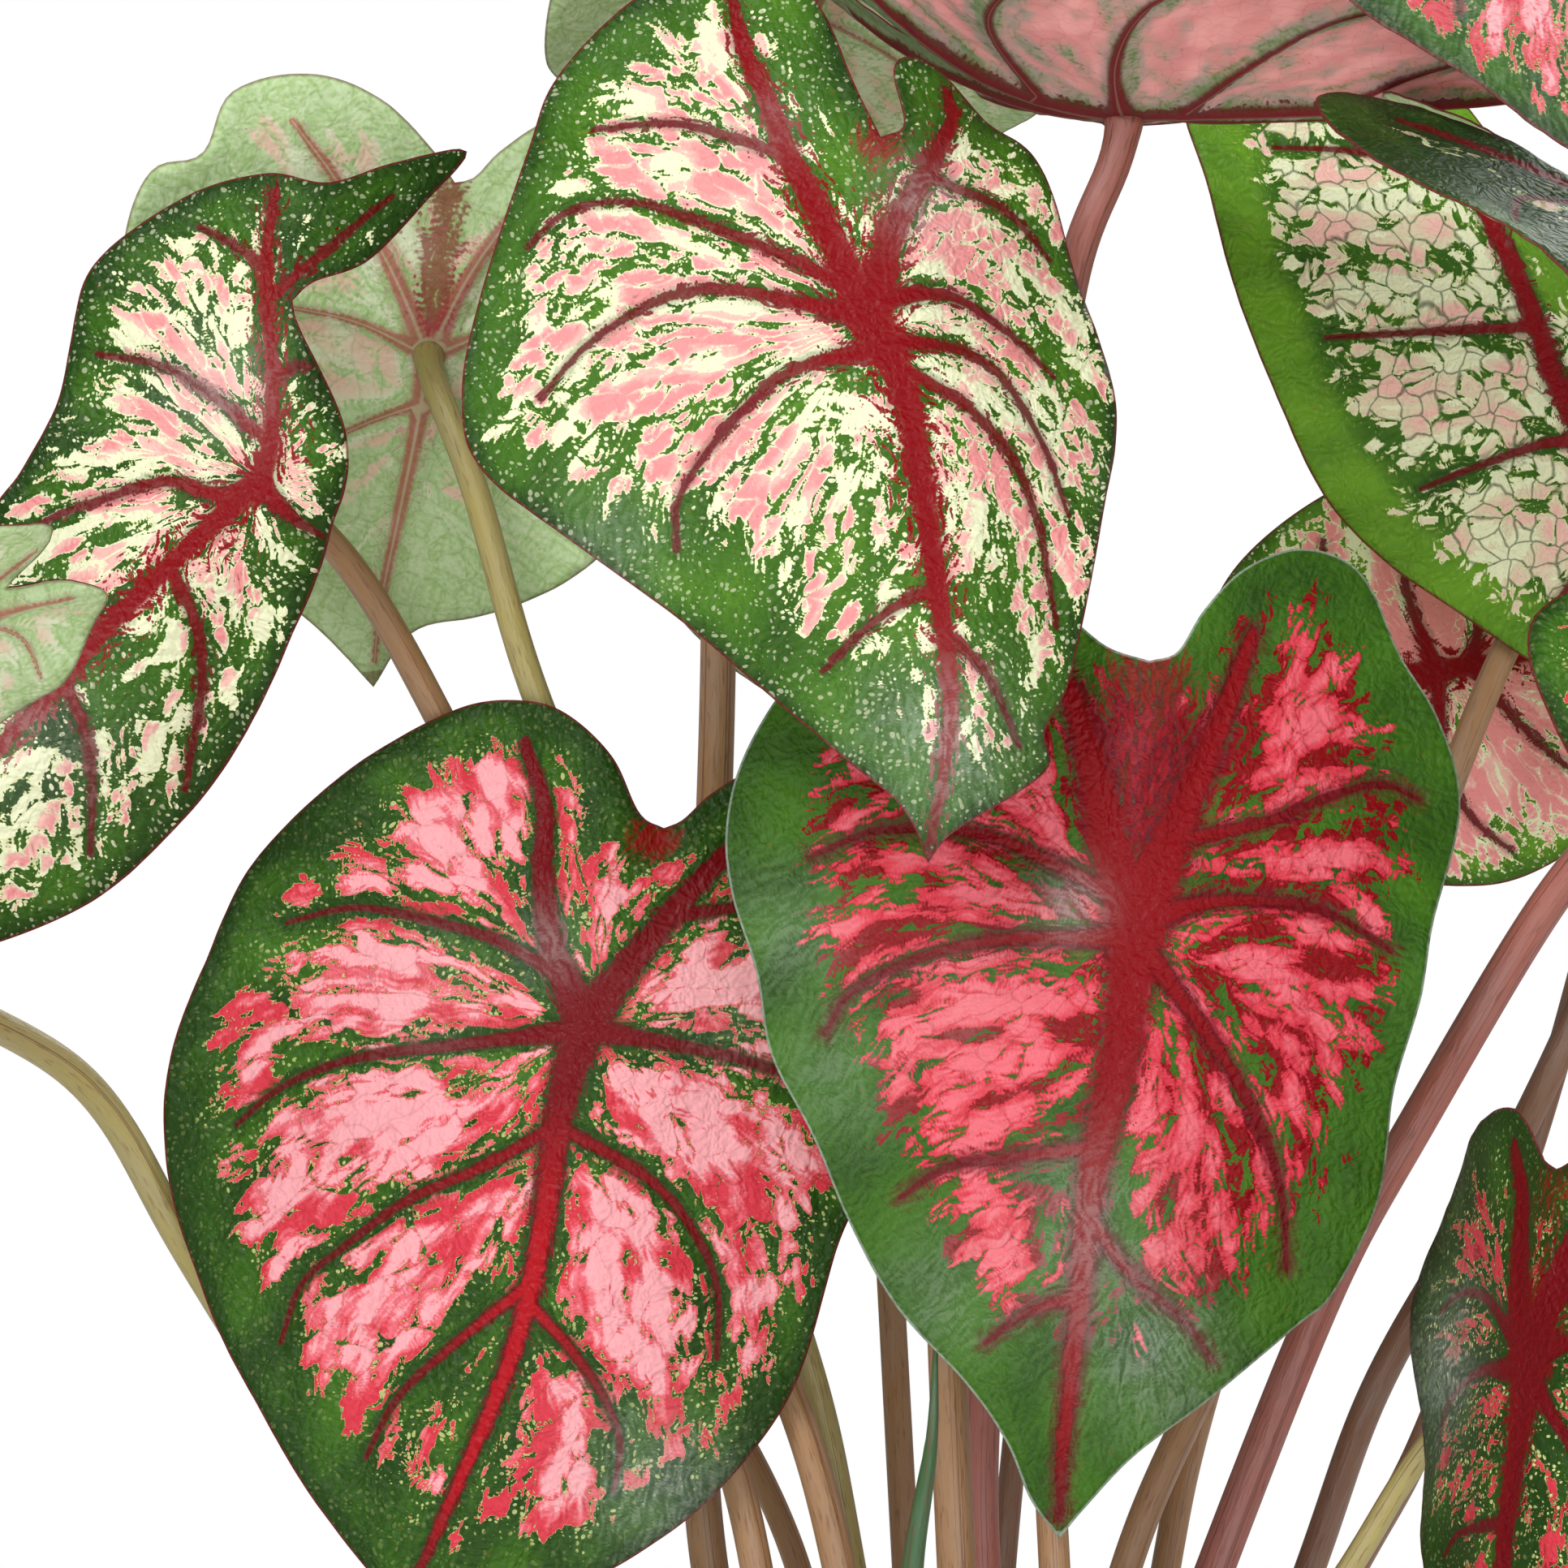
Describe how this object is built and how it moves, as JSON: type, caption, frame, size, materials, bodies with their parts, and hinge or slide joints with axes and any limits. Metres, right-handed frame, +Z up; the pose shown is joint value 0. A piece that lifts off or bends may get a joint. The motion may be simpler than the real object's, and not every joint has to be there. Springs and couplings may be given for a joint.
{
  "type": "potted caladium",
  "caption": "Heart-shaped variegated leaves on arching stalks, growing from soil in a plain round clay pot.",
  "frame": {"origin": "middle of the pot's underside", "axes": "+Z up along the pot's axis and the plant's height; -Y is the side shown in the picture"},
  "size_m": [0.4808, 0.2997, 0.6159],
  "materials": {
    "blade_pale": "satin",
    "blade_pink": "satin",
    "blade_red": "satin",
    "petiole": "satin",
    "new_leaf": "satin",
    "soil": "matte",
    "tuber": "matte",
    "terracotta": "matte"
  },
  "bodies": {
    "root": {"blade_centre": "blade_pale", "petiole_centre": "petiole", "blade_low_left": "blade_pink", "petiole_low_left": "petiole", "blade_low_right": "blade_red", "petiole_low_right": "petiole", "blade_left": "blade_pale", "petiole_left": "petiole", "blade_left_rear": "blade_pale", "petiole_left_rear": "petiole", "blade_top_rear": "blade_pale", "petiole_top_rear": "petiole", "blade_upper_right": "blade_pink", "petiole_upper_right": "petiole", "blade_top_right": "blade_pink", "petiole_top_right": "petiole", "blade_right": "blade_pale", "petiole_right": "petiole", "blade_right_fold": "blade_pale", "petiole_right_fold": "petiole", "blade_right_rear": "blade_pink", "petiole_right_rear": "petiole", "blade_right_edge": "blade_pink", "petiole_right_edge": "petiole", "blade_low_corner": "blade_red", "petiole_low_corner": "petiole", "blade_left_edge": "blade_pale", "petiole_left_edge": "petiole", "blade_rear_left": "blade_pink", "petiole_rear_left": "petiole", "blade_rear_middle": "blade_pale", "petiole_rear_middle": "petiole", "blade_rear_right": "blade_red", "petiole_rear_right": "petiole", "blade_rear_low": "blade_pink", "petiole_rear_low": "petiole", "blade_side_left": "blade_pale", "petiole_side_left": "petiole", "new_leaf": "new_leaf", "soil": "soil", "tuber": "tuber", "pot": "terracotta"}
  },
  "joints": []
}
